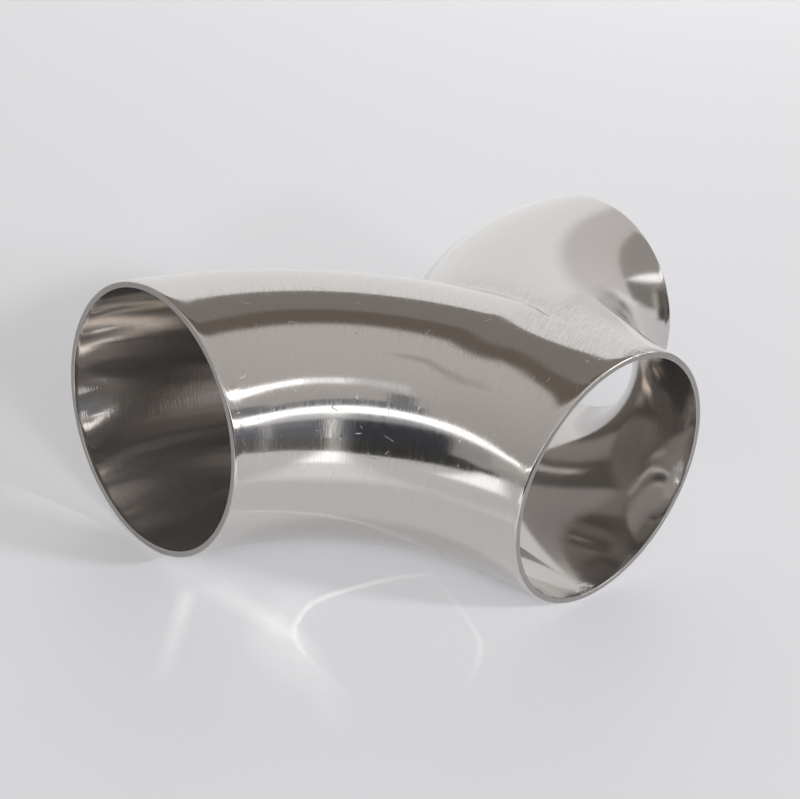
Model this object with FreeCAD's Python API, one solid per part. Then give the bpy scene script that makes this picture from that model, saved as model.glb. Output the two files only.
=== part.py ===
import FreeCAD, Part
import math
import os
from FreeCAD import Vector

# Y-fitting for thin-wall sanitary tube: two mitred bends that share one port, welded on the
# middle plane and polished into one piece. It lies flat on z = 0 with its three ports level.
# All sizes in mm, all angles in degrees.

# Tube
TUBE_OD = 76.1
WALL = 2.0

# Bends: the middle arc takes up what the sized ends leave
CENTRE_TO_END = 89.0
BEND_ANGLE = 90.0
SIZED_LAND = 2.0
END_BEND_RADIUS = 0.66 * TUBE_OD
END_BEND_ANGLE = 7.25

# Weld seam: ground blend outside, dressed root inside, both fading out before the shared port
SEAM_BLEND_RADIUS = 0.08 * TUBE_OD
ROOT_BLEND_RADIUS = 0.45 * WALL
SEAM_BLEND_START = 0.25 * TUBE_OD

# Broken edges of the weld faces
RIM_OUTER_ROUND = 0.25 * WALL
RIM_INNER_ROUND = 0.15 * WALL

OUTER_RADIUS = TUBE_OD / 2
BORE_RADIUS = OUTER_RADIUS - WALL
REACH = CENTRE_TO_END + OUTER_RADIUS
SPAN = 4 * REACH
BORE_OVERRUN = WALL
UP = Vector(0, 0, 1)
DOWN = Vector(0, 0, -1)
TOLERANCE = 0.0005 * WALL


def middle_bend_radius():
    """Radius of the middle arc that brings both ends to CENTRE_TO_END."""
    turn = math.radians(END_BEND_ANGLE)
    ends = SIZED_LAND + END_BEND_RADIUS * (math.sin(turn) + 1 - math.cos(turn))
    return (CENTRE_TO_END - ends) / (math.cos(turn) - math.sin(turn))


def path_steps(overrun):
    """Centreline as (length, 0) for a straight and (radius, angle) for an arc."""
    land = (SIZED_LAND + overrun, 0)
    end_arc = (END_BEND_RADIUS, END_BEND_ANGLE)
    middle_arc = (middle_bend_radius(), BEND_ANGLE - 2 * END_BEND_ANGLE)
    return [land, end_arc, middle_arc, end_arc, land]


def rod_along_path(radius, overrun):
    """Solid rod along the right-hand bend, overrunning both of its ports."""
    heading = Vector(0, 1, 0)
    point = heading * -overrun
    lengths = []
    for size, angle in path_steps(overrun):
        section = Part.Face(Part.Wire(Part.makeCircle(radius, point, heading)))
        if angle == 0:
            lengths.append(section.extrude(heading * size))
            point = point + heading * size
        else:
            pivot = point + heading.cross(UP) * size
            lengths.append(section.revolve(pivot, DOWN, angle))
            turn = FreeCAD.Rotation(DOWN, angle)
            point = pivot + turn.multVec(point - pivot)
            heading = turn.multVec(heading)
    return lengths[0].multiFuse(lengths[1:]).removeSplitter().Solids[0]


def mitred_bend():
    """Right-hand bend tube, cut back to the middle plane x = 0."""
    tube = rod_along_path(OUTER_RADIUS, 0).cut(rod_along_path(BORE_RADIUS, BORE_OVERRUN))
    right_side = Part.makeBox(SPAN, 2 * SPAN, SPAN, Vector(0, -SPAN, -SPAN / 2))
    return tube.common(right_side)


def joined_bends():
    """Both mitred bends as one solid with a sharp seam."""
    right = mitred_bend()
    left = right.mirror(Vector(0, 0, 0), Vector(1, 0, 0))
    return right.fuse(left).removeSplitter().Solids[0]


def seam_edges(shape):
    """Curved edges on the middle plane, longest first: the outer seam, then the inner one."""
    found = []
    for edge in shape.Edges:
        on_plane = all(abs(p.x) < TOLERANCE for p in edge.discretize(9))
        if on_plane and edge.Curve.TypeId != "Part::GeomLine":
            found.append(edge)
    return sorted(found, key=lambda edge: -edge.Length)


def blend_seam(body):
    """Round the seam behind SEAM_BLEND_START, where the two bends have parted enough."""
    corner = Vector(-SPAN / 2, SEAM_BLEND_START, -SPAN / 2)
    back_space = Part.makeBox(SPAN, SPAN, SPAN, corner)
    front = body.cut(back_space)
    back = body.common(back_space).Solids[0]
    outer_seam = seam_edges(back)[0]
    back = back.makeFillet(SEAM_BLEND_RADIUS, [outer_seam])
    inner_seam = seam_edges(back)[0]
    back = back.makeFillet(ROOT_BLEND_RADIUS, [inner_seam])
    return front.fuse(back).removeSplitter().Solids[0]


def ports():
    """Centre and outward direction of each weld face."""
    shared = (Vector(0, 0, 0), Vector(0, -1, 0))
    right = (Vector(CENTRE_TO_END, CENTRE_TO_END, 0), Vector(1, 0, 0))
    left = (Vector(-CENTRE_TO_END, CENTRE_TO_END, 0), Vector(-1, 0, 0))
    return [shared, right, left]


def rim_edges(shape, radius):
    """Edges that run round a weld face at this radius from its centre."""
    found = []
    for edge in shape.Edges:
        points = edge.discretize(5)
        for centre, outward in ports():
            in_face = all(abs((p - centre).dot(outward)) < TOLERANCE for p in points)
            at_radius = all(abs((p - centre).Length - radius) < TOLERANCE for p in points)
            if in_face and at_radius:
                found.append(edge)
    return found


def break_rims(body):
    """Take the sharpness off the outer and inner edge of each weld face."""
    body = body.makeFillet(RIM_OUTER_ROUND, rim_edges(body, OUTER_RADIUS))
    return body.makeFillet(RIM_INNER_ROUND, rim_edges(body, BORE_RADIUS))


def y_fitting():
    """The finished fitting, its base on z = 0 and its footprint centred on the origin."""
    body = break_rims(blend_seam(joined_bends())).Solids[0]
    body.translate(Vector(0, -REACH / 2, OUTER_RADIUS))
    return body


os.makedirs("parts", exist_ok=True)
fitting = y_fitting()
fitting.exportStep("parts/y_fitting.step")
print("y_fitting", fitting.ShapeType, fitting.isValid(), round(fitting.Volume, 1))
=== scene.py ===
"""Y-fitting: two mitred bends of thin-wall tube, welded on their middle plane and polished.

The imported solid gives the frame. A finer mesh of the same form stands for it: Geometry Nodes sweep
the tube wall along each bend, then the weld, the port rims and the finish are dressed on it.
"""
import logging
import math
from dataclasses import dataclass, field
from enum import Enum
from functools import partial

import bmesh
import bpy
import numpy as np
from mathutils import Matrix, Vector


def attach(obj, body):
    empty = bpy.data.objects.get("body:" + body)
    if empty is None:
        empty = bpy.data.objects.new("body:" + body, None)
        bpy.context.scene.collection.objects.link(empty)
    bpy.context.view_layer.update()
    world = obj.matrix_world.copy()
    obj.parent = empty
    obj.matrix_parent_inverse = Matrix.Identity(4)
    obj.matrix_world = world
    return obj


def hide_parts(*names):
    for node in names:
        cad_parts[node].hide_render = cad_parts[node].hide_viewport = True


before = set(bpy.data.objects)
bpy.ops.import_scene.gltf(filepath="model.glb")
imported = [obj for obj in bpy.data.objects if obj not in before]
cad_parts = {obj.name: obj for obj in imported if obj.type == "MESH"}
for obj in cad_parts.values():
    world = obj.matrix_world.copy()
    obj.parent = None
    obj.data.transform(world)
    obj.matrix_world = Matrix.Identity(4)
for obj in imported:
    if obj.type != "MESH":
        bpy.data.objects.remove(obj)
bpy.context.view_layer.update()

LOG = logging.getLogger("y_fitting")
MM = 0.001
PHOTO_WIDTH = 800

Array = np.ndarray
Node = bpy.types.Node
NodeTree = bpy.types.NodeTree
Place = tuple[float, float, float]


class Hung(Enum):
    """How a studio card hangs round the object."""

    OVERHEAD = "overhead"
    UPRIGHT = "upright"
    FLAT = "flat"


def linear_colour(hex_code: str) -> tuple[float, float, float, float]:
    """Turns an sRGB hex colour into the linear colour that shaders take.

    Args:
        hex_code: Colour as "#RRGGBB".

    Returns:
        Linear red, green and blue, with alpha 1.
    """
    values = [int(hex_code[i:i + 2], 16) / 255 for i in (1, 3, 5)]
    red, green, blue = [v / 12.92 if v <= 0.04045 else ((v + 0.055) / 1.055) ** 2.4 for v in values]
    return red, green, blue, 1.0


def add_node(tree: NodeTree, kind: str, inputs: dict | list | tuple = (), **settings: object) -> Node:
    """Adds a node, sets its properties, and fills or links its inputs.

    Args:
        tree: Tree that gets the node.
        kind: Blender's name for the node type, without ShaderNode or GeometryNode before it, and
            after a space its operation.
        inputs: Values, sockets or nodes by input name or number, or in order from input 0 on.
            A node stands for its first output.
        **settings: Node properties by name.

    Returns:
        The new node.
    """
    kind, _, operation = kind.partition(" ")
    names = [prefix + kind for prefix in ("ShaderNode", "GeometryNode", "")]
    node = tree.nodes.new(next(name for name in names if hasattr(bpy.types, name)))
    if operation:
        node.operation = operation
    for name, value in settings.items():
        setattr(node, name, value)
    for name, value in inputs.items() if isinstance(inputs, dict) else enumerate(inputs):
        if isinstance(value, Node):
            value = next(s for s in value.outputs if s.enabled)
        if isinstance(value, bpy.types.NodeSocket):
            tree.links.new(value, node.inputs[name])
        elif value is not None:
            node.inputs[name].default_value = value
    return node


def empty_tree(owner: bpy.types.Material | bpy.types.World) -> NodeTree:
    """Gives a material or a world a node tree without nodes."""
    owner.use_nodes = True
    owner.node_tree.nodes.clear()
    return owner.node_tree


def add_object(name: str, data: bpy.types.ID, missed_by: tuple[str, ...] = ()) -> bpy.types.Object:
    """Adds an object to the scene.

    Args:
        name: Name of the object.
        data: Its mesh, light or camera.
        missed_by: Kinds of ray that don't meet it.

    Returns:
        The object.
    """
    thing = bpy.data.objects.new(name, data)
    bpy.context.scene.collection.objects.link(thing)
    for ray in missed_by:
        setattr(thing, f"visible_{ray}", False)
    return thing


def smooth_share(values: Array) -> Array:
    """Eases values from 0 to 1, level at both ends."""
    share = np.clip(values, 0, 1)
    return share * share * (3 - 2 * share)


def fade_out(values: Array, full: float, gone: float) -> Array:
    """Runs evenly from 1 at the one value down to 0 at the other."""
    return np.clip((gone - values) / (gone - full), 0, 1)


@dataclass(frozen=True)
class BendPath:
    """Middle line of one bend in the fitting's level plane: lands and arcs that touch without a kink."""

    straight_land: float = 2.0 * MM
    end_bend_radius: float = 0.66 * 76.1 * MM
    end_bend_angle: float = math.radians(7.25)
    centre_to_end: float = 89.0 * MM

    @property
    def middle_bend_angle(self) -> float:
        """Angle of the middle arc, what the two end arcs leave of the quarter turn."""
        return math.pi / 2 - 2 * self.end_bend_angle

    @property
    def middle_bend_radius(self) -> float:
        """Radius of the middle arc that brings both ends to the centre-to-end size."""
        sine, cosine = math.sin(self.end_bend_angle), math.cos(self.end_bend_angle)
        ends = self.straight_land + self.end_bend_radius * (sine + 1 - cosine)
        return (self.centre_to_end - ends) / (cosine - sine)

    @property
    def steps(self) -> list[tuple[float, float]]:
        """Each step's length and the angle it turns through."""
        land = (self.straight_land, 0.0)
        end = (self.end_bend_radius * self.end_bend_angle, self.end_bend_angle)
        middle = (self.middle_bend_radius * self.middle_bend_angle, self.middle_bend_angle)
        return [land, end, middle, end, land]

    @property
    def length(self) -> float:
        """Length of the whole middle line."""
        return sum(length for length, _ in self.steps)

    def points(self, along: Array) -> Array:
        """Finds points on the right-hand middle line.

        Args:
            along: Distances from the shared port.

        Returns:
            The points, one row each.
        """
        place = np.zeros((len(along), 3))
        heading = np.zeros(len(along))
        for length, angle in self.steps:
            run = np.clip(along, 0, length)
            turned = heading + angle * run / length
            if angle:
                radius = length / angle
                place[:, 0] += radius * (np.cos(heading) - np.cos(turned))
                place[:, 1] += radius * (np.sin(turned) - np.sin(heading))
            else:
                place[:, 0] += run * np.sin(heading)
                place[:, 1] += run * np.cos(heading)
            heading = turned
            along = along - length
        return place


@dataclass(frozen=True)
class MitredBends:
    """The two bends: tube wall swept along each middle line and cut back on the middle plane."""

    path: BendPath = BendPath()
    tube_radius: float = 38.05 * MM
    wall: float = 2.0 * MM
    outer_edge_round: float = 0.5 * MM
    inner_edge_round: float = 0.3 * MM
    rows: int = 118
    columns: int = 148
    centreline_points: int = 700
    end_zone: float = 4.0 * MM
    closest_row: float = 0.07
    edge_points: int = 5
    face_rows: float = 3.0
    shortest_skin: float = 10.0 * MM
    shortest_face: float = 0.6 * MM
    least_ahead: float = 1e-4
    merge_distance: float = 0.002 * MM

    @property
    def bore_radius(self) -> float:
        """Radius of the bore."""
        return self.tube_radius - self.wall

    @property
    def resting_place(self) -> Vector:
        """Where the shared port's centre stands in the frame, with the tube's underside on the floor."""
        reach = self.path.centre_to_end + self.tube_radius
        return Vector((0, -reach / 2, self.tube_radius))

    def folded(self, points: Array, along: Array) -> tuple[Array, ...]:
        """Folds points on to the right-hand bend.

        Args:
            points: Points of both bends, with the shared port's centre at the origin.
            along: Their distances along the bend.

        Returns:
            The side of each point, -1 or 1, the folded points, the unit directions to them from the
            middle line, and their distances from it.
        """
        side = np.where(points[:, 0] < 0, -1.0, 1.0)
        right = points.copy()
        right[:, 0] *= side
        spokes = right - self.path.points(along)
        reach = np.linalg.norm(spokes, axis=1)
        return side, right, spokes / reach[:, None], reach

    def sizes(self) -> dict[str, float]:
        """The sizes that the sweep tree takes, by the name of its input."""
        fields = (
            (self, "tube_radius wall"),
            (self.path, "straight_land end_bend_radius end_bend_angle middle_bend_radius"),
            (self, "outer_edge_round inner_edge_round end_zone closest_row"),
            (self, "rows columns centreline_points"))
        return {name.replace("_", " ").title(): getattr(owner, name)
                for owner, names in fields for name in names.split()}

    def sweep_tree(self, finish: bpy.types.Material) -> bpy.types.NodeTree:
        """Makes the Geometry Nodes tree that sweeps the wall of both bends.

        Args:
            finish: Material that the tree sets.

        Returns:
            The tree, with one named input for each size.
        """
        tree = bpy.data.node_groups.new("mitred_bends", "GeometryNodeTree")
        for name, value in self.sizes().items():
            kind = "NodeSocketInt" if isinstance(value, int) else "NodeSocketFloat"
            tree.interface.new_socket(name, in_out="INPUT", socket_type=kind)
        tree.interface.new_socket("Bends", in_out="OUTPUT", socket_type="NodeSocketGeometry")
        add = partial(add_node, tree)
        (tube_radius, wall, land, end_radius, end_angle, middle_radius, outer_round, inner_round, end_zone,
         closest_row, rows, columns, line_points, *_) = add("NodeGroupInput").outputs

        # Middle line: headings of small steps, added up
        end_run = add("Math MULTIPLY", [end_radius, end_angle])
        middle_angle = add("Math MULTIPLY_ADD", [end_angle, -2.0, math.pi / 2])
        middle_run = add("Math MULTIPLY", [middle_radius, middle_angle])
        first_end = add("Math ADD", [land, end_run])
        second_end = add("Math ADD", [first_end, middle_run])
        third_end = add("Math ADD", [second_end, end_run])
        length = add("Math ADD", [third_end, land])
        step = add("Math DIVIDE", [length, add("Math SUBTRACT", [line_points, 1.0])])
        index = add("InputIndex")
        reached = add("Math MULTIPLY", [add("Math SUBTRACT", [index, 0.5]), step])
        heading: Node | float = 0.0
        for start, end, angle in (
                (land, first_end, end_angle), (first_end, second_end, middle_angle),
                (second_end, third_end, end_angle)):
            turn = add("MapRange", [reached, start, end, 0.0, angle], clamp=True)
            heading = add("Math ADD", [heading, turn])
        direction = add("CombineXYZ", [add("Math SINE", [heading]), add("Math COSINE", [heading])])
        stride = add("Math MULTIPLY", [step, add("Math MINIMUM", [index, 1.0])])
        hop = add("VectorMath SCALE", {"Vector": direction, "Scale": stride})
        summed = add("AccumulateField", [hop], data_type="FLOAT_VECTOR").outputs["Leading"]
        line = add("MeshToCurve", [add("MeshLine", {"Count": line_points}, mode="OFFSET")])
        middle_line = add("SetPosition", {"Geometry": line, "Position": summed})

        # Wall outline: distance along the bend and distance from its middle line, with broken edges
        bore = add("Math SUBTRACT", [tube_radius, wall])
        places = ((0.0, bore), (0.0, tube_radius), (length, tube_radius), (length, bore))
        corners = {f"Point {number + 1}": add("CombineXYZ", place) for number, place in enumerate(places)}
        outline = add("CurvePrimitiveQuadrilateral", corners, mode="POINTS")
        from_middle = add("Math ABSOLUTE", [add("Math SUBTRACT", [index, 1.5])])
        is_bore_corner = add("Math GREATER_THAN", [from_middle, 1.0])
        edge_round = add("Mix", {0: is_bore_corner, 2: outer_round, 3: inner_round}, data_type="FLOAT")
        rounded = add(
            "FilletCurve", {"Curve": outline, "Count": self.edge_points, "Radius": edge_round}, mode="POLY")
        count = add("AttributeDomainSize", [rounded], component="CURVE")
        following = add("Math MODULO", [add("Math ADD", [index, 1.0]), count])
        position = add("InputPosition")
        neighbour = add("FieldAtIndex", {"Index": following, "Value": position}, data_type="FLOAT_VECTOR")
        gap = add("VectorMath DISTANCE", [position, neighbour])
        face_cuts, skin_cuts = (
            add("Math MULTIPLY", [add("Math GREATER_THAN", [gap, shortest]), cuts])
            for shortest, cuts in ((self.shortest_face, self.face_rows), (self.shortest_skin, rows)))
        divided = add("SubdivideCurve", [rounded, add("Math MAXIMUM", [face_cuts, skin_cuts])])
        row_count = add("AttributeDomainSize", [divided], component="CURVE")

        # Grid of rows along the outline and columns round the tube
        grid_columns = add("Math ADD", [columns, 1.0])
        grid_rows = add("Math ADD", [row_count, 1.0])
        grid = add("MeshGrid", {"Vertices X": grid_rows, "Vertices Y": grid_columns})
        row = add("Math FLOOR", [add("Math DIVIDE", [index, grid_columns])])
        closed_row = add("Math MODULO", [row, row_count])
        column = add("Math MODULO", [index, grid_columns])
        place = add(
            "SampleIndex", {"Geometry": divided, "Value": position, "Index": closed_row},
            data_type="FLOAT_VECTOR")
        even_along, radius, _ = add("SeparateXYZ", [place]).outputs

        # Rows crowd towards the crotch, where the seam turns fastest
        turn_cosine = add("Math COSINE", [end_angle])
        end_drop = add("Math MULTIPLY", [end_radius, add("Math SUBTRACT", [1.0, turn_cosine])])
        bend_centre = add("Math MULTIPLY_ADD", [middle_radius, turn_cosine, end_drop])
        crotch_cosine = add("Math DIVIDE", [bend_centre, add("Math ADD", [middle_radius, radius])])
        crotch_turn = add("Math SUBTRACT", [add("Math ARCCOSINE", [crotch_cosine]), end_angle])
        crotch = add("Math MULTIPLY_ADD", [crotch_turn, middle_radius, first_end])
        beyond = add("Math SUBTRACT", [even_along, crotch])
        before_span = add("Math SUBTRACT", [crotch, end_zone])
        beyond_span = add("Math SUBTRACT", [add("Math SUBTRACT", [length, end_zone]), crotch])
        span = add("Mix", {
            0: add("Math GREATER_THAN", [beyond, 0.0]), 2: before_span, 3: beyond_span}, data_type="FLOAT")
        share = add("Math ABSOLUTE", [add("Math DIVIDE", [beyond, span])])
        slack = add("Math SUBTRACT", [1.0, closest_row])
        crowding = add("Math MULTIPLY_ADD", [share, slack, closest_row])
        kept_crowding = add("Mix", {
            0: add("Math GREATER_THAN", [share, 1.0]), 2: crowding, 3: 1.0}, data_type="FLOAT")
        along = add("Math MULTIPLY_ADD", [beyond, kept_crowding, crotch])

        # Columns start and end on the middle plane, or meet where the ring is whole
        sample = add(
            "SampleCurve", {"Curves": middle_line, "Length": along}, mode="LENGTH", use_all_curves=True)
        line_place, line_heading = sample.outputs["Position"], sample.outputs["Tangent"]
        heading_across, heading_onward, _ = add("SeparateXYZ", [line_heading]).outputs
        line_across, *_ = add("SeparateXYZ", [line_place]).outputs
        reach = add("Math MULTIPLY", [add("Math MAXIMUM", [heading_onward, self.least_ahead]), radius])
        cut_cosine = add("Math DIVIDE", [line_across, reach], use_clamp=True)
        first_angle = add("Math ARCCOSINE", [cut_cosine])
        ring_angle = add("Math MULTIPLY_ADD", [first_angle, -2.0, math.tau])
        column_share = add("Math DIVIDE", [column, columns])
        angle = add("Math MULTIPLY_ADD", [column_share, ring_angle, first_angle])
        level, height = (
            add("Math MULTIPLY", [radius, add(f"Math {wave}", [angle])]) for wave in ("COSINE", "SINE"))
        outwards = add("CombineXYZ", [add("Math MULTIPLY", [heading_onward, -1.0]), heading_across])
        sideways = add("VectorMath SCALE", {"Vector": outwards, "Scale": level})
        spoke = add("VectorMath ADD", [sideways, add("CombineXYZ", {"Z": height})])
        skin_place = add("VectorMath ADD", [line_place, spoke])
        swept = add("SetPosition", {"Geometry": grid, "Position": skin_place})

        # Place on the tube as if it were pulled straight, for marks that follow it
        straightened = add("CombineXYZ", [along, level, height])
        marked = add(
            "StoreNamedAttribute", {"Geometry": swept, "Name": "straightened", "Value": straightened},
            data_type="FLOAT_VECTOR", domain="POINT")

        # The other bend is the mirror image
        mirrored = add("Transform", {"Geometry": marked, "Scale": (-1.0, 1.0, 1.0)})
        flipped = add("FlipFaces", [mirrored])
        both = add("JoinGeometry")
        for half in (flipped, marked):
            tree.links.new(half.outputs[0], both.inputs[0])
        merged = add("MergeByDistance", {"Geometry": both, "Distance": self.merge_distance})
        real = add("RealizeInstances", [add("SetShadeSmooth", {"Geometry": merged})])
        coated = add("SetMaterial", {"Geometry": real, "Material": finish})
        add("NodeGroupOutput", {"Bends": coated})
        return tree

    def swept_mesh(self, finish: bpy.types.Material) -> bpy.types.Mesh:
        """Sweeps both bends and turns the result into a plain mesh.

        Args:
            finish: Material of the bends.

        Returns:
            The mesh, with the shared port's centre at its origin.
        """
        holder = add_object("bend_holder", bpy.data.meshes.new("bend_holder"))
        modifier = holder.modifiers.new("sweep", "NODES")
        tree = self.sweep_tree(finish)
        modifier.node_group = tree
        sockets = {item.name: item for item in tree.interface.items_tree if item.in_out == "INPUT"}
        for name, value in self.sizes().items():
            modifier[sockets[name].identifier] = value
        depsgraph = bpy.context.evaluated_depsgraph_get()
        mesh = bpy.data.meshes.new_from_object(holder.evaluated_get(depsgraph), depsgraph=depsgraph)
        holder.modifiers.remove(modifier)
        bpy.data.objects.remove(holder)
        return mesh


@dataclass(frozen=True)
class GroundWeld:
    """The weld between the bends, ground to a smooth valley outside and dressed at its root inside.

    On top, where the bends are almost level with each other, the grinder left a shallow flat along the
    seam and the tube beside it stands a little proud. The flat ends in a faint crease on the crotch side.
    """

    bends: MitredBends = MitredBends()
    blend_radius: float = 0.08 * 76.1 * MM
    root_radius: float = 0.9 * MM
    flat_depth: float = 0.9 * MM
    proud_height: float = 0.4 * MM
    flat_half_width: float = 5.0 * MM
    proud_place: float = 26.0 * MM
    deepest_place: float = 24.0 * MM
    crease_place: float = 37.8 * MM
    side_level: float = 0.35
    top_level: float = 0.80
    strokes_full: float = 9.0 * MM
    strokes_gone: float = 18.0 * MM
    stroke_gain: float = 2.2
    strip_full: float = 3.0 * MM
    strip_gone: float = 9.0 * MM
    weld_end_full: float = 1.5 * MM
    weld_end_gone: float = 4.5 * MM
    skin_slack: float = 0.004 * MM
    line_points: int = 1500
    batch: int = 2000

    def ball_line(self, skin_radius: float, ball: float) -> Array:
        """Finds where the centre of a ball runs when it touches both tubes.

        Args:
            skin_radius: Radius of the skins that it touches.
            ball: Radius of the ball.

        Returns:
            Points of the line's upper half, on the middle plane.
        """
        path = self.bends.path
        middle_line = path.points(np.linspace(0, path.length, 4 * self.line_points))
        level = np.linspace(0, path.centre_to_end + skin_radius + ball, 4 * self.line_points)
        gaps = np.array([np.hypot(middle_line[:, 0], middle_line[:, 1] - y).min() for y in level])
        square = (skin_radius + ball) ** 2 - gaps ** 2
        last = int(np.argmax(square < 0))
        share = square[last - 1] / (square[last - 1] - square[last])
        crotch = level[last - 1] + share * (level[last] - level[last - 1])
        level = np.append(level[:last], crotch)
        height = np.sqrt(np.append(square[:last], 0.0))
        run = np.append(0, np.cumsum(np.hypot(np.diff(level), np.diff(height))))
        even = np.linspace(0, run[-1], self.line_points)
        line = np.zeros((self.line_points, 3))
        line[:, 1] = np.interp(even, run, level)
        line[:, 2] = np.interp(even, run, height)
        return line

    def roll(self, points: Array, spokes: Array, skin_radius: float, ball: float) -> Array:
        """Moves the skin beside the seam on to the rolled ball.

        Args:
            points: Points of one skin, on the right-hand side.
            spokes: Unit directions from the middle line to the points.
            skin_radius: Radius of that skin.
            ball: Radius of the ball.

        Returns:
            The moved points.
        """
        near = (points + ball * spokes)[:, 0] < 0
        line = self.ball_line(skin_radius, ball)
        moved = points.copy()
        chosen = points[near]
        upper = np.where(chosen[:, 2] < 0, -1.0, 1.0)
        folded = chosen * np.stack([np.ones_like(upper), np.ones_like(upper), upper], 1)
        touched = np.empty_like(folded)
        for start in range(0, len(folded), self.batch):
            part = folded[start:start + self.batch]
            gap = ((part[:, None, :] - line[None]) ** 2).sum(2)
            centre = line[gap.argmin(1)]
            away = part - centre
            away /= np.linalg.norm(away, axis=1)[:, None]
            touched[start:start + self.batch] = centre + ball * away
        touched[:, 2] *= upper
        moved[near] = touched
        return moved

    def dress(self, points: Array, along: Array) -> tuple[Array, dict[str, Array]]:
        """Dresses the seam of both skins.

        Args:
            points: All points of the bends, with the shared port's centre at the origin.
            along: Their distances along the bend.

        Returns:
            The moved points, and how much each belongs to the ground weld and to its rough ends at
            the shared port, from 0 to 1 by the name of the mark.
        """
        side, right, spokes, reach = self.bends.folded(points, along)
        for skin_radius, ball in (
                (self.bends.tube_radius, self.blend_radius), (self.bends.bore_radius, self.root_radius)):
            on_skin = np.abs(reach - skin_radius) < self.skin_slack
            right[on_skin] = self.roll(right[on_skin], spokes[on_skin], skin_radius, ball)
        outside = reach > self.bends.bore_radius + self.bends.wall / 2
        shape, ground = self.flat(right)
        right -= spokes * (shape * outside)[:, None]
        strip = fade_out(right[:, 0], self.strip_full, self.strip_gone)
        crown = np.stack([right[:, 0], right[:, 1], np.abs(right[:, 2]) - self.bends.tube_radius], 1)
        weld_end = fade_out(np.linalg.norm(crown, axis=1), self.weld_end_full, self.weld_end_gone)
        right[:, 0] *= side
        return right, {"ground_weld": np.maximum(strip, ground) * outside, "weld_end": weld_end}

    def flat(self, points: Array) -> tuple[Array, Array]:
        """Shapes the ground flat on top.

        Args:
            points: Points of the outer skin, on the right-hand side.

        Returns:
            How deep the flat is at each point, less than nothing where the tube stands proud, and how
            much each point was ground, from 0 to 1.
        """
        from_port = smooth_share(points[:, 1] / self.deepest_place)
        to_crease = 1 - fade_out(points[:, 1], self.deepest_place, self.crease_place)
        out = smooth_share(1 - fade_out(points[:, 0], self.flat_half_width, self.proud_place))
        sunk = self.flat_depth * (1 - out) * from_port * np.cos(math.pi / 2 * to_crease)
        proud = self.proud_height * out * from_port * (1 - smooth_share(to_crease))
        level = points[:, 2] / self.bends.tube_radius
        high = smooth_share(1 - fade_out(level, self.side_level, self.top_level))
        stroked = fade_out(points[:, 0], self.strokes_full, self.strokes_gone)
        lengthwise = np.clip(self.stroke_gain * from_port * np.cos(math.pi / 2 * to_crease), 0, 1)
        return (sunk - proud) * high, stroked * high * lengthwise


@dataclass(frozen=True)
class PortRims:
    """The three weld faces: the polishing wheel rolls the skin down a little towards each rim."""

    bends: MitredBends = MitredBends()
    rolled_width: float = 3.5 * MM
    rolled_depth: float = 0.22 * MM
    face_depth: float = 0.3 * MM

    def dress(self, points: Array, along: Array) -> Array:
        """Rolls the outer skin down towards each rim.

        Args:
            points: All points of the bends, with the shared port's centre at the origin.
            along: Their distances along the bend.

        Returns:
            The moved points.
        """
        side, right, spokes, reach = self.bends.folded(points, along)
        outer_share = np.clip((reach - self.bends.bore_radius) / self.bends.wall, 0, 1)
        from_rim = np.minimum(along, self.bends.path.length - along)
        rolled = fade_out(from_rim, 0.0, self.rolled_width) ** 2 * self.rolled_depth * outer_share
        right -= spokes * rolled[:, None]
        right[:, 0] *= side
        return right

    def marks(self, points: Array, along: Array) -> dict[str, Array]:
        """Tells how much each point belongs to the bore and to a port face.

        Args:
            points: All points of the swept bends, with the shared port's centre at the origin.
            along: Their distances along the bend.

        Returns:
            Values from 0 to 1 by the name of their mark.
        """
        depth = self.bends.tube_radius - self.bends.folded(points, along)[3]
        from_rim = np.minimum(along, self.bends.path.length - along)
        inner = np.clip(2 * depth / self.bends.wall - 1, 0, 1)
        between = (depth > 0.5 * self.bends.outer_edge_round) & (
            self.bends.wall - depth > 0.5 * self.bends.inner_edge_round)
        return {"bore": inner, "port_face": ((from_rim < self.face_depth) & between).astype(float)}


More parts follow.
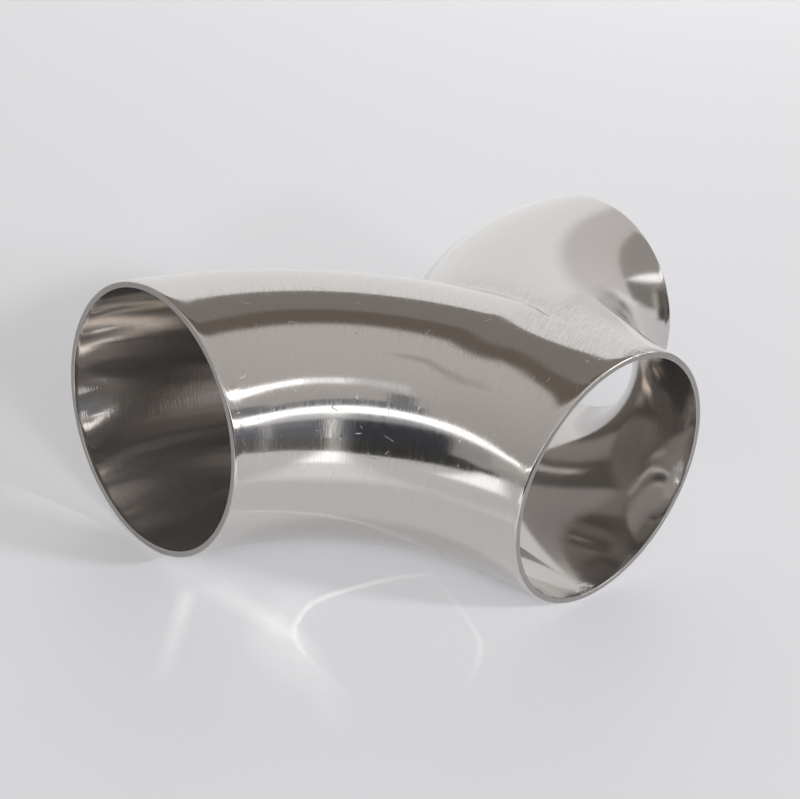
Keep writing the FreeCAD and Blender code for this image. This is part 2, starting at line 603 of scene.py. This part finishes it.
@dataclass(frozen=True)
class PolishedStainless:
    """Polished stainless steel: turned-tube stock, buffed to a mirror with fine lines round the tube.

    The eye gets a nearly neutral mirror that is a touch warm, with reflections drawn out a little
    across the buffing lines, and a duller strip where the weld was ground. Real buffing lines are a
    few hundredths of a millimetre apart and real scratches as thin, too fine to show, so both are
    drawn as coarse as a picture of the whole part needs. Pairs are where something starts and where
    it is complete or gone.
    """

    slot: str = "polished_stainless"
    colour: str = "#D2CFCC"
    bore_colour: str = "#C4C0BC"
    face_colour: str = "#ADAAA8"
    # Painted shade of the undercut beside the weld
    undercut_colour: str = "#1C1A19"
    line_shade: float = 0.965
    stroke_shade: float = 0.86
    mirror_roughness: float = 0.04
    buffed_roughness: float = 0.17
    bore_roughness: float = 0.08
    bore_metal: float = 0.90
    face_roughness: float = 0.38
    weld_end_roughness: float = 0.30
    scratch_roughness: float = 0.25
    shaded_grain: tuple[float, float] = (0.4, 0.6)
    rough_grain: tuple[float, float] = (0.35, 0.7)
    line_spacing: float = 0.30 * MM
    line_length: float = 6.0 * MM
    line_depth: float = 0.010 * MM
    stroke_spacing: float = 0.30 * MM
    stroke_length: float = 3.5 * MM
    stroke_depth: float = 0.012 * MM
    stroke_turn: float = math.radians(21)
    wave_length: float = 22.0 * MM
    wave_depth: float = 0.006 * MM
    bead_grain: float = 0.8 * MM
    bead_depth: float = 0.4 * MM
    scratch_spacing: float = 7.0 * MM
    scratch_width: float = 0.10 * MM
    scratch_depth: float = 0.016 * MM
    scratch_patch: float = 2.6 * MM
    scratch_share: tuple[float, float] = (0.70, 0.74)
    handled_place: Place = (-58.0 * MM, -25.0 * MM, 47.0 * MM)
    handled_core: float = 8.0 * MM
    handled_reach: float = 20.0 * MM
    handled_share: float = 0.13
    undercut_place: Place = (-2.15 * MM, -28.8 * MM, 76.1 * MM)
    undercut_height: tuple[float, float] = (-5.0 * MM, -3.0 * MM)
    undercut_length: tuple[float, float] = (3.24 * MM, 5.4 * MM)
    undercut_width: tuple[float, float] = (0.154 * MM, 0.28 * MM)
    undercut_wobble: float = 1.2 * MM
    undercut_wobble_length: float = 3.0 * MM

    def material(self) -> bpy.types.Material:
        """Builds the material.

        Returns:
            The material.
        """
        finish = bpy.data.materials.new(self.slot)
        add = partial(add_node, empty_tree(finish))
        bore, port_face, ground_weld, weld_end = (
            add("Attribute", attribute_name=name).outputs["Fac"]
            for name in ("bore", "port_face", "ground_weld", "weld_end"))
        straightened = add("Attribute", attribute_name="straightened").outputs["Vector"]
        place = add("TexCoord").outputs["Object"]

        # Buffing lines run round the tube, so they are short along it and long round it
        line_place = add("Mapping", {"Vector": straightened, "Scale": (
            1 / self.line_spacing, 1 / self.line_length, 1 / self.line_length)})
        lines = add("TexNoise", {"Vector": line_place, "Scale": 1.0, "Detail": 2.0})

        # Strokes of the hand grinder run across the weld
        stroke_size = (self.stroke_length, self.stroke_spacing, self.stroke_length)
        stroke_place = add(
            "Mapping", {"Vector": place, "Rotation": (0.0, 0.0, self.stroke_turn), "Scale": stroke_size},
            vector_type="TEXTURE")
        strokes = add("TexNoise", {"Vector": stroke_place, "Scale": 1.0, "Detail": 2.0})
        grain = add("MapRange", [ground_weld, 0.0, 1.0, lines, strokes])
        grain_depth = add("MapRange", [ground_weld, 0.0, 1.0, self.line_depth, self.stroke_depth])

        # Handling scratches: short straight pieces of cell walls, most of them where hands hold the bend
        cells = add(
            "TexVoronoi", {"Vector": place, "Scale": 1 / self.scratch_spacing}, feature="DISTANCE_TO_EDGE")
        thin = add("MapRange", [cells, 0.0, self.scratch_width / self.scratch_spacing, 1.0, 0.0])
        from_hold = add("VectorMath DISTANCE", [place, self.handled_place])
        handled = add("MapRange", [
            from_hold, self.handled_core, self.handled_reach, self.handled_share, 0.0])
        patches = add("TexNoise", {"Vector": place, "Scale": 1 / self.scratch_patch, "Detail": 0.0})
        open_here = add("MapRange", [add("Math ADD", [patches, handled]), *self.scratch_share])
        kept = add("Math MULTIPLY", [open_here, add("Math SUBTRACT", [1.0, bore])])
        scratched = add("Math MULTIPLY", [thin, kept])

        # Undercut that the grinder left beside the weld: the groove itself is not shaped, its shade is
        # painted into the colour as a thin dark line
        from_line = add("VectorMath SUBTRACT", [place, self.undercut_place])
        wobble = add("TexNoise", {"Vector": place, "Scale": 1 / self.undercut_wobble_length, "Detail": 2.0})
        aside_place, along_place, high_place = add("SeparateXYZ", [from_line]).outputs
        shifted = add("Math MULTIPLY_ADD", [wobble, self.undercut_wobble, aside_place])
        centred = add("Math SUBTRACT", [shifted, self.undercut_wobble / 2])
        across, within = (
            add("MapRange", [add("Math ABSOLUTE", [away]), *fade, 1.0, 0.0])
            for away, fade in ((centred, self.undercut_width), (along_place, self.undercut_length)))
        on_top = add("MapRange", [high_place, *self.undercut_height])
        undercut = add("Math MULTIPLY", [add("Math MULTIPLY", [across, within]), on_top])

        # The last mix paints the undercut's shade, a near-black line, into the colour
        colour = linear_colour(self.colour)
        for share, shade in (
                (bore, self.bore_colour), (port_face, self.face_colour), (undercut, self.undercut_colour)):
            colour = add("Mix", {0: share, 6: colour, 7: linear_colour(shade)}, data_type="RGBA")
        deepest_shade = add("MapRange", [ground_weld, 0.0, 1.0, self.line_shade, self.stroke_shade])
        shaded = add("MapRange", [grain, *self.shaded_grain, 1.0, deepest_shade])
        tone = add("VectorMath SCALE", {"Vector": colour, "Scale": shaded})

        roughness = add("MapRange", [grain, *self.rough_grain, self.mirror_roughness, self.buffed_roughness])
        for share, value in (
                (bore, self.bore_roughness), (weld_end, self.weld_end_roughness),
                (port_face, self.face_roughness), (scratched, self.scratch_roughness)):
            roughness = add("MapRange", [share, 0.0, 1.0, roughness, value])

        waves, bead = (
            add("TexNoise", {"Vector": place, "Scale": 1 / size, "Detail": 1.0})
            for size in (self.wave_length, self.bead_grain))
        bead_height = add("Math MULTIPLY", [bead, weld_end])
        bump: Node | None = None
        for height, depth in (
                (waves, self.wave_depth), (bead_height, self.bead_depth),
                (grain, grain_depth), (scratched, self.scratch_depth)):
            bump = add("Bump", {"Strength": 1.0, "Distance": depth, "Height": height, "Normal": bump})
        # The pickled bore keeps a dull haze that the buffed outside has lost
        metal = add("MapRange", [bore, 0.0, 1.0, 1.0, self.bore_metal])
        shader = add("BsdfPrincipled", {
            "Base Color": tone, "Metallic": metal, "Roughness": roughness, "Normal": bump})
        add("OutputMaterial", {"Surface": shader})
        return finish


@dataclass
class YFitting:
    """The whole fitting: one piece on the one body."""

    bends: MitredBends = field(default_factory=MitredBends)
    weld: GroundWeld = field(default_factory=GroundWeld)
    rims: PortRims = field(default_factory=PortRims)
    finish: PolishedStainless = field(default_factory=PolishedStainless)

    def mesh(self) -> bpy.types.Mesh:
        """Sweeps the bends, dresses the weld and the rims, and puts the result in its place.

        Returns:
            The finished mesh in the frame.
        """
        mesh = self.bends.swept_mesh(self.finish.material())
        points = np.array([vertex.co for vertex in mesh.vertices], dtype=float)
        along = np.array([entry.vector.x for entry in mesh.attributes["straightened"].data])
        marks = self.rims.marks(points, along)
        points, weld_marks = self.weld.dress(points, along)
        points = self.rims.dress(points, along) + np.array(self.bends.resting_place)
        mesh.vertices.foreach_set("co", points.astype(np.float32).ravel())
        for name, values in (marks | weld_marks).items():
            mark = mesh.attributes.new(name, "FLOAT", "POINT")
            mark.data.foreach_set("value", values.astype(np.float32))
        closed = bmesh.new()
        closed.from_mesh(mesh)
        bmesh.ops.holes_fill(closed, edges=closed.edges, sides=4)
        bmesh.ops.recalc_face_normals(closed, faces=closed.faces)
        for face in closed.faces:
            face.smooth = True
        closed.to_mesh(mesh)
        closed.free()
        mesh.name = "polished_y_fitting"
        return mesh

    def build(self) -> bpy.types.Object:
        """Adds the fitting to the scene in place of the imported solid.

        Returns:
            The fitting's object.
        """
        piece = add_object("polished_y_fitting", self.mesh())
        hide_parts("y_fitting")
        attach(piece, "root")
        return piece


def glowing_sheet(name: str, places: list, faces: list, shares: list | Array, colour: str,
                  strength: float | None, missed_by: tuple[str, ...], top_only: bool = False) -> None:
    """Adds a thin sheet of light to the studio.

    Args:
        name: Name of the sheet.
        places: Its points.
        faces: Its faces, as point numbers.
        shares: How far the sheet hides what lies behind it at each point. Without a strength it hides
            nothing, and these are its own strengths.
        colour: Its colour.
        strength: Its strength all over.
        missed_by: Kinds of ray that don't meet it.
        top_only: Whether it is clear from behind.
    """
    mesh = bpy.data.meshes.new(name)
    mesh.from_pydata(places, [], faces)
    mark = mesh.attributes.new("share", "FLOAT", "POINT")
    mark.data.foreach_set("value", np.array(shares, np.float32))
    paint = bpy.data.materials.new(name)
    add = partial(add_node, empty_tree(paint))
    paint.cycles.emission_sampling = "NONE"
    share = add("Attribute", attribute_name="share").outputs["Fac"]
    clear = add("BsdfTransparent")
    brightness = share if strength is None else strength
    glow = add("Emission", {"Color": linear_colour(colour), "Strength": brightness})
    if strength is None:
        surface = add("AddShader", [clear, glow])
    else:
        soft = add("MapRange", {"Value": share}, interpolation_type="SMOOTHSTEP")
        surface = add("MixShader", [soft, clear, glow])
    if top_only:
        surface = add("MixShader", [add("NewGeometry").outputs["Backfacing"], surface, clear])
    add("OutputMaterial", {"Surface": surface})
    mesh.materials.append(paint)
    add_object(name, mesh, missed_by)


def oblong(left: float, right: float, low: float, high: float) -> tuple[tuple[float, float], ...]:
    """Gives the corners of an upright oblong."""
    return (left, low), (right, low), (right, high), (left, high)


@dataclass(frozen=True)
class StudioCard:
    """A flat card or lamp: its soft edge has the unit of its corners, its distance is in metres."""

    name: str
    colour: str
    strength: float
    feather: float
    distance: float
    corners: tuple[tuple[float, float], ...]

    def ring(self, grown: float) -> Array:
        """Moves every edge outwards and finds the new corners.

        Args:
            grown: How far the edges move.

        Returns:
            The new corners, one row each.
        """
        corners = np.array(self.corners)
        following = np.roll(corners, -1, axis=0)
        edges = following - corners
        turn = np.sum(corners[:, 0] * following[:, 1] - corners[:, 1] * following[:, 0])
        normals = np.stack([edges[:, 1], -edges[:, 0]], 1) / np.linalg.norm(edges, axis=1)[:, None]
        normals *= np.sign(turn)
        before = np.roll(normals, 1, axis=0)
        share = 1 + np.sum(normals * before, axis=1)
        return corners + grown * (normals + before) / share[:, None]


@dataclass(frozen=True)
class CardStand:
    """Cards that hang the same way round the fitting, seen by shiny surfaces only.

    Corners are slopes in hundredths: on overhead cards the steps along +X and +Y for one step up, on
    upright cards the steps sideways and up for one step towards the card. Flat cards lie just above
    the paper with their corners in millimetres, and are seen from above only: most stand for the
    floor of the dim room past the paper's front edge, and the brightest are painted glare and painted
    light on the paper.
    """

    hung: Hung
    facing: float
    cards: tuple[StudioCard, ...]

    def place(self, across: float, onward: float, distance: float) -> Vector:
        """Turns a corner into its place.

        Args:
            across: First number of the corner.
            onward: Second number of the corner.
            distance: Distance of the card.

        Returns:
            The place in the frame.
        """
        if self.hung is Hung.FLAT:
            return Vector((across * MM, onward * MM, distance))
        across, onward = across / 100, onward / 100
        if self.hung is Hung.OVERHEAD:
            return Vector((across, onward, 1)) * distance
        azimuth = math.radians(self.facing)
        towards = Vector((-math.sin(azimuth), math.cos(azimuth), 0))
        sideways = Vector((-math.cos(azimuth), -math.sin(azimuth), 0))
        return (towards + sideways * across + Vector((0, 0, onward))) * distance

    def build(self) -> None:
        """Makes the cards, opaque inside and fading out over their edges."""
        for card in self.cards:
            count = len(card.corners)
            rings = np.concatenate([card.ring(-card.feather / 2), card.ring(card.feather / 2)])
            border = [(i, count + i, count + (i + 1) % count, (i + 1) % count) for i in range(count)]
            glowing_sheet(
                card.name, [self.place(*corner, card.distance) for corner in rings],
                [tuple(range(count)), *border], [1.0] * count + [0.0] * count, card.colour, card.strength,
                ("camera", "diffuse", "shadow"), self.hung is Hung.FLAT)


@dataclass(frozen=True)
class Softbox:
    """A lamp on a stand, turned to the fitting.

    Directions are degrees of azimuth, 0 towards +Y and 90 towards -X, and of elevation.
    """

    name: str
    azimuth: float
    elevation: float
    distance: float
    width: float
    height: float
    power: float
    colour: str = "#FFFFFF"
    casts_shadow: bool = True

    def build(self) -> None:
        """Adds the softbox."""
        lamp = bpy.data.lights.new(self.name, "AREA")
        lamp.shape = "RECTANGLE"
        lamp.size = self.width
        lamp.size_y = self.height
        lamp.energy = self.power
        lamp.use_shadow = self.casts_shadow
        lamp.color = linear_colour(self.colour)[:3]
        azimuth, elevation = math.radians(self.azimuth), math.radians(self.elevation)
        away = Vector((
            -math.sin(azimuth) * math.cos(elevation), math.cos(azimuth) * math.cos(elevation),
            math.sin(elevation)))
        light = add_object(self.name, lamp, ("glossy", "camera"))
        light.location = away * self.distance
        light.rotation_euler = (-away).to_track_quat("-Z", "Y").to_euler()


@dataclass(frozen=True)
class PaperSweep:
    """Seamless matt paper: the floor that the fitting stands on, and the far wall other views see."""

    colour: str = "#EBEBED"
    floor_glow: float = 0.10
    floor_radius: float = 7.0
    wall_radius: float = 6.5
    wall_height: float = 6.0
    wall_glow: float = 0.62
    sides: int = 96
    roughness: float = 0.46

    def paper(self, name: str, glow: float) -> bpy.types.Material:
        """Builds matt paper.

        Args:
            name: Name of the material.
            glow: Strength of its own light: what the room's walls would throw back on to it.

        Returns:
            The material.
        """
        paint = bpy.data.materials.new(name)
        add = partial(add_node, empty_tree(paint))
        paint.cycles.emission_sampling = "NONE"
        shader = add("BsdfPrincipled", {
            "Base Color": linear_colour(self.colour), "Roughness": self.roughness, "Specular IOR Level": 0.5,
            "Emission Color": linear_colour(self.colour), "Emission Strength": glow})
        add("OutputMaterial", {"Surface": shader})
        return paint

    def build(self) -> None:
        """Adds the floor and the far wall."""
        turns = [math.tau * i / self.sides for i in range(self.sides)]
        inner, outer = (
            [(radius * math.cos(turn), radius * math.sin(turn), 0) for turn in turns]
            for radius in (self.wall_radius, self.floor_radius))
        top = [(x, y, self.wall_height) for x, y, _ in inner]
        after = [(i + 1) % self.sides for i in range(self.sides)]
        panels = [(i, after[i], self.sides + after[i], self.sides + i) for i in range(self.sides)]
        for name, places, faces, paper, glow, missed_by in (
                ("paper_floor", outer, [tuple(range(self.sides))], "matt_paper", self.floor_glow, ()),
                ("paper_wall", inner + top, panels, "matt_paper_far", self.wall_glow,
                 ("glossy", "diffuse", "shadow"))):
            mesh = bpy.data.meshes.new(name)
            mesh.from_pydata(places, [], faces)
            mesh.materials.append(self.paper(paper, glow))
            add_object(name, mesh, missed_by)


@dataclass(frozen=True)
class CaughtLight:
    """A line of lamp light that the polished bend throws on to the paper in front of it."""

    name: str
    points_mm: tuple[tuple[float, float, float], ...]
    half_width: float = 1.4 * MM
    colour: str = "#FFFAF8"
    height: float = 0.3 * MM
    roundings: int = 3

    def build(self) -> None:
        """Makes the line as a glowing strip that fades out at both sides.

        Each point holds its place along +X and +Y and how bright the line is there.
        """
        line = np.array(self.points_mm)
        for _ in range(self.roundings):
            cut = np.stack([0.75 * line[:-1] + 0.25 * line[1:], 0.25 * line[:-1] + 0.75 * line[1:]], 1)
            line = np.concatenate([line[:1], cut.reshape(-1, 3), line[-1:]])
        along = np.gradient(line[:, :2], axis=0)
        aside = np.stack([-along[:, 1], along[:, 0]], 1) / np.linalg.norm(along, axis=1)[:, None]
        rows = [line[:, :2] * MM + side * self.half_width * aside for side in (-1, 0, 1)]
        count = len(line)
        faces = [(row * count + i, row * count + i + 1, (row + 1) * count + i + 1, (row + 1) * count + i)
                 for row in range(2) for i in range(count - 1)]
        glowing_sheet(
            self.name, [(x, y, self.height) for row in rows for x, y in row], faces,
            np.concatenate([np.zeros(count), line[:, 2], np.zeros(count)]), self.colour, None,
            ("diffuse", "shadow"))


@dataclass(frozen=True)
class Room:
    """The room's own light above the paper, dim and warm low down, paler overhead."""

    low_colour: str = "#ADA9A6"
    high_colour: str = "#CECAC7"
    share_on_paper: float = 0.46
    rise: tuple[float, float] = (0.1, 0.95)

    def build(self) -> None:
        """Makes the world and gives it to the scene."""
        room = bpy.data.worlds.new("room")
        add = partial(add_node, empty_tree(room))
        height = add("SeparateXYZ", [add("TexCoord").outputs["Generated"]]).outputs["Z"]
        colour = add("Mix", {
            0: add("MapRange", [height, *self.rise]), 6: linear_colour(self.low_colour),
            7: linear_colour(self.high_colour)}, data_type="RGBA")
        on_paper = add("LightPath").outputs["Is Diffuse Ray"]
        strength = add("MapRange", [on_paper, 0.0, 1.0, 1.0, self.share_on_paper])
        glow = add("Background", {"Color": colour, "Strength": strength})
        add("OutputWorld", {"Surface": glow})
        bpy.context.scene.world = room


@dataclass(frozen=True)
class Studio:
    """Paper, room, softboxes, cards and the light that the bend throws back on the paper."""

    paper: PaperSweep = PaperSweep()
    room: Room = Room()
    softboxes: tuple[Softbox, ...] = (
        Softbox("back_softbox", -60.0, 35.0, 2.2, 1.6, 0.8, 11.2, "#FBFCFF", False),
        Softbox("back_softbox_left", -30.0, 35.0, 2.2, 1.6, 0.8, 5.4, "#FBFCFF", False),
        Softbox("front_softbox", 140.0, 34.0, 2.4, 3.2, 0.8, 12.6, "#FBFCFF"),
        Softbox("low_lamp", 165.0, 21.0, 3.0, 0.42, 0.16, 15.0, "#FAFBFF"),
        Softbox("right_lamp", 210.0, 24.0, 3.0, 0.42, 0.16, 32.0, "#FAFBFF"),
    )
    stands: tuple[CardStand, ...] = (
        CardStand(Hung.UPRIGHT, -45.0, (
            StudioCard("white_wall", "#FFFFFF", 0.93, 14, 8.0, oblong(-26, 370, -5, 100)),
            StudioCard("grey_wall", "#D8D4D3", 1.0, 10, 8.1, oblong(-95, -20, -5, 100)),
        )),
        CardStand(Hung.OVERHEAD, 0.0, (
            StudioCard("brown_overhead", "#736A63", 1.0, 9, 7.6, (
                (-62, 100), (-50, 52), (-30, 29), (-12, 21), (8, 9), (25, 0), (42, -6), (100, -5),
                (100, 100))),
            StudioCard("grey_overhead", "#8D8782", 1.0, 4, 7.4, (
                (-6, 60), (-5, 47), (2, 39), (20, 36), (30, 28), (45, 24), (53, 18), (95, 20), (95, 95),
                (20, 80))),
            StudioCard("ceiling_seam", "#B0ABA7", 1.0, 5, 7.5, (
                (-20, -17), (-21.5, -23), (-34, -16), (-51, -8), (-74, -4), (-74, 4), (-49, 0),
                (-31.5, -8.5))),
        )),
        CardStand(Hung.UPRIGHT, 140.0, (
            StudioCard("dim_room", "#707278", 1.0, 8, 7.9, oblong(15, 300, -5, 33)),
            StudioCard("dark_room", "#414248", 1.0, 6, 7.8, oblong(-73, 19, -5, 33)),
            StudioCard("near_panel", "#A6A3A1", 1.0, 5, 7.7, (
                (-76, 5), (-100, -5), (-150, -5), (-150, 30), (-76, 30))),
            StudioCard("pale_panel", "#BEBBB8", 1.0, 5, 7.8, oblong(-600, -140, -5, 30)),
            StudioCard("wide_strip", "#FFFDF8", 1.2, 2, 7.6, oblong(32.5, 40.4, -5, 38)),
            StudioCard("strip_top", "#FFFDF8", 1.5, 3, 7.5, oblong(28.5, 42, 33.5, 42)),
            StudioCard("lamp_glow", "#FCFDFF", 0.72, 6, 7.5, ((20, 31), (150, 28), (150, 42), (20, 42))),
            StudioCard("lamp_sill", "#A2A3A8", 1.0, 5, 7.55, ((-75, 31), (150, 27), (150, 43), (-75, 43))),
            StudioCard("thin_strip", "#FFFDF8", 0.8, 2, 7.6, oblong(119, 128, -5, 36)),
            StudioCard("lower_lamp", "#FFFFFF", 2.3, 5, 7.4, (
                (-700, 25), (-200, 31.5), (-130, 34.5), (-58, 36.5), (-18, 40.5), (90, 40), (119, 37.5),
                (154, 35.5), (180, 37.5), (236, 40.5), (360, 47), (360, 80), (236, 67.5), (180, 59),
                (154, 56.5), (119, 53.5), (90, 52), (-18, 52), (-58, 47.5), (-130, 45.5), (-200, 42),
                (-700, 36))),
            StudioCard("dim_shelf", "#808187", 1.0, 10, 7.85, ((55, 15), (330, 15), (330, 50), (55, 34))),
            StudioCard("dark_panel_back", "#787A80", 1.0, 5, 7.65, (
                (130, 56), (173, 62), (214, 72), (340, 95), (340, 128), (214, 100), (173, 85), (130, 75))),
            StudioCard("dark_panel_low", "#7E8085", 1.0, 5, 7.7, oblong(-42, 160, 51, 65)),
            StudioCard("dark_panel_high", "#84868A", 1.0, 5, 7.6, oblong(-32.5, -7, 60, 87)),
        )),
        CardStand(Hung.FLAT, 0.0, (
            StudioCard("dark_floor", "#41413F", 1.0, 20, 0.001, (
                (500, -160), (220, -235), (0, -252), (-75, -252), (-115, -232), (-173, -173), (-250, -108),
                (-285, -60), (-330, -10), (-400, 30), (-600, -20), (-750, -60), (-1600, -150), (-3000, -500),
                (-7500, -1800), (-7500, -7500), (7500, -7500), (7500, -2700))),
            StudioCard("dim_floor", "#6B6A69", 1.0, 20, 0.0015, (
                (500, -200), (220, -235), (0, -252), (-75, -252), (-115, -232), (-150, -196), (-4100, -6900),
                (7500, -7500), (7500, -4200))),
            StudioCard("pale_floor", "#ADAAA8", 1.0, 20, 0.0015, (
                (-400, 45), (-300, 100), (-230, 160), (-500, 600), (-4000, 6000), (-7500, 4000),
                (-7500, -1800), (-3000, -500), (-1600, -150), (-750, -60), (-600, -20))),
            # Painted glare of the lamps on the paper, seen by shiny surfaces only
            StudioCard("strip_glare_soft", "#FFFFFF", 0.95, 22, 0.002, (
                (-150, -196), (-122, -212), (-94, -152), (-70, -98), (-62, -68), (-90, -60), (-104, -92),
                (-126, -146))),
            StudioCard("strip_glare", "#FFFFFF", 1.7, 18, 0.003, (
                (-148, -200), (-118, -216), (-88, -140), (-80, -116), (-102, -110), (-120, -142))),
            StudioCard("side_glare", "#FFFFFF", 1.5, 20, 0.003, (
                (-340, -40), (-150, -72), (-150, -22), (-340, 20))),
            StudioCard("thin_dark_floor", "#4A4946", 1.0, 20, 0.002, (
                (-420, -110), (-420, 20), (-660, 60), (-660, -150))),
            # Painted light on the paper behind the fitting, seen by shiny surfaces only
            StudioCard("back_floor_painted_light", "#FFFFFF", 0.9, 100, 0.001, (
                (250, 200), (1600, 100), (7500, -500), (7500, 7500), (-1500, 7500), (50, 1100), (140, 420))),
            StudioCard("wide_strip_floor", "#CBC8C2", 1.0, 8, 0.002, (
                (-125, -222), (-144, -203), (-208, -348), (-344, -653), (-3300, -7300), (-2540, -7600),
                (-255, -608), (-169, -340))),
            StudioCard("thin_strip_floor", "#B9B6B2", 1.0, 6, 0.002, (
                (-18, -262), (-32, -262), (9, -486), (214, -1600), (1390, -7500), (1830, -7500), (390, -1900),
                (41, -519))),
        )),
        CardStand(Hung.UPRIGHT, 152.0, (
            StudioCard("upper_lamp", "#FFFFFF", 2.3, 6, 7.4, (
                (50, 98.5), (90, 96), (111, 94), (137.6, 95.5), (185, 108), (185, 137), (137.6, 120),
                (111, 116), (90, 112), (50, 113.5))),
            StudioCard("upper_lamp_middle", "#FFFFFF", 1.35, 8, 7.45, oblong(7, 56, 98, 114)),
            StudioCard("upper_lamp_end", "#FFFFFF", 0.76, 14, 7.5, (
                (-50, 100), (16, 99), (16, 116), (-50, 124))),
        )),
        CardStand(Hung.UPRIGHT, -100.0, (
            StudioCard("grey_side", "#A8A4A1", 1.0, 5, 7.6, oblong(-50, 27, -5, 85)),
            StudioCard("low_side", "#8D8985", 1.0, 3, 7.5, ((-12, -5), (26, -5), (26, 19), (-12, 21))),
            StudioCard("side_door", "#CFCBC6", 1.0, 2, 7.4, oblong(-19, -13, -5, 16)),
            StudioCard("side_plants", "#615D52", 1.0, 4, 7.4, oblong(-60, -20, -5, 22)),
            StudioCard("side_glow", "#FFFFFF", 1.45, 5, 7.3, (
                (22, 18.5), (3.5, 28.5), (-17.6, 38.5), (-44, 54), (-44, 38.5), (-17.6, 27.5), (3.5, 22.5))),
        )),
        CardStand(Hung.UPRIGHT, -133.0, (
            StudioCard("back_room", "#7E7974", 1.0, 6, 7.65, oblong(-23, 27, -5, 72)),
            StudioCard("back_strip", "#FFFFFF", 3.0, 1.8, 7.4, (
                (-16, 32.5), (0, 33.5), (0, 39), (-16, 39.5))),
            StudioCard("glint_lamp", "#FFF3E4", 4.5, 2, 7.3, (
                (-30, 66), (-23.5, 65), (-23.5, 72), (-30, 74))),
        )),
        CardStand(Hung.UPRIGHT, -140.0, (
            StudioCard("lamp_corner", "#FFFFFF", 2.4, 4, 7.25, ((-17, 49), (-3, 50), (-3, 62), (-17, 65))),
            StudioCard("near_card", "#FFFBF8", 3.1, 7, 0.18, (
                (-42, 64), (0, 66), (2, 90), (-12, 104), (-38, 100))),
            StudioCard("near_shade", "#7A7B80", 1.0, 3, 0.183, oblong(-66, -43, 33, 53)),
            StudioCard("near_streak", "#FFFFFF", 3.6, 3, 0.179, (
                (-26, 39), (-8, 34), (-3, 37), (-8, 42), (-26, 48))),
            StudioCard("near_card_edge", "#FFFBF8", 1.7, 5, 0.181, ((-36, 45), (-5, 43), (0, 64), (-42, 64))),
            StudioCard("near_lamp", "#FFF6EC", 5.0, 4, 0.182, oblong(31, 48, 80, 100)),
        )),
    )
    caught_light: tuple[CaughtLight, ...] = (
        CaughtLight("caught_light_hook", (
            (-29, -31, 0.04), (-42, -26, 0.10), (-55, -24, 0.17), (-65, -23, 0.20), (-70, -24, 0.22),
            (-74, -26, 0.24), (-78, -28.5, 0.27), (-81, -31.5, 0.27), (-83, -35.5, 0.18), (-85, -42, 0.09),
            (-86, -54, 0.04), (-87, -61, 0.0))),
        CaughtLight("caught_light_glow", (
            (-62, -19, 0.0), (-70, -20, 0.05), (-77, -22, 0.08), (-84, -26, 0.10), (-89, -33, 0.08),
            (-92, -42, 0.05), (-95, -55, 0.0)), 9.0 * MM),
        CaughtLight("caught_light_arc", (
            (-30, -31, 0.0), (-33, -39, 0.04), (-35, -46, 0.05), (-39, -56, 0.07), (-41, -60, 0.09),
            (-44, -64, 0.10), (-48, -67, 0.07), (-52, -70, 0.04), (-61, -74, 0.0)), 1.3 * MM),
        CaughtLight("caught_light_haze", (
            (-87, 1, 0.0), (-85, -5, 0.06), (-84, -12, 0.09), (-82.5, -21, 0.12), (-82, -30, 0.16),
            (-84, -38, 0.10), (-90, -52, 0.05), (-98, -72, 0.0)), 6.0 * MM),
        CaughtLight("caught_light_streak", (
            (-90, 1, 0.0), (-94, -3, 0.12), (-98, -7, 0.13), (-105, -14, 0.08), (-114, -23, 0.05),
            (-123, -31, 0.0)), 3.2 * MM),
    )

    def build(self) -> None:
        """Builds the studio round the fitting."""
        self.paper.build()
        self.room.build()
        for item in (*self.softboxes, *self.stands, *self.caught_light):
            item.build()


@dataclass(frozen=True)
class PhotoCamera:
    """Camera that stands where the photograph was taken."""

    place: Place = (-306.84 * MM, -276.10 * MM, 232.90 * MM)
    turn_degrees: tuple[float, float, float] = (64.189, -8.332, -45.256)
    focal_pixels: float = 1540.7
    centre_offset_pixels: float = 80.0
    sensor_width: float = 36.0
    nearest: float = 0.01
    farthest: float = 100.0

    def build(self) -> None:
        """Adds the camera and makes it the scene's own."""
        lens = bpy.data.cameras.new("photo_camera")
        lens.sensor_width = self.sensor_width
        lens.lens = self.sensor_width * self.focal_pixels / PHOTO_WIDTH
        lens.shift_x = -self.centre_offset_pixels / PHOTO_WIDTH
        lens.clip_start = self.nearest
        lens.clip_end = self.farthest
        camera = add_object("photo_camera", lens)
        camera.location = self.place
        camera.rotation_euler = [math.radians(angle) for angle in self.turn_degrees]
        bpy.context.scene.camera = camera


def main() -> None:
    """Builds the camera, the fitting and the studio in order."""
    logging.basicConfig(level=logging.INFO, format="%(name)s: %(message)s")
    PhotoCamera().build()
    piece = YFitting().build()
    LOG.info("%s: %d faces", piece.name, len(piece.data.polygons))
    Studio().build()
    bpy.context.scene.view_settings.view_transform = "Standard"


if __name__ == "__main__":
    main()
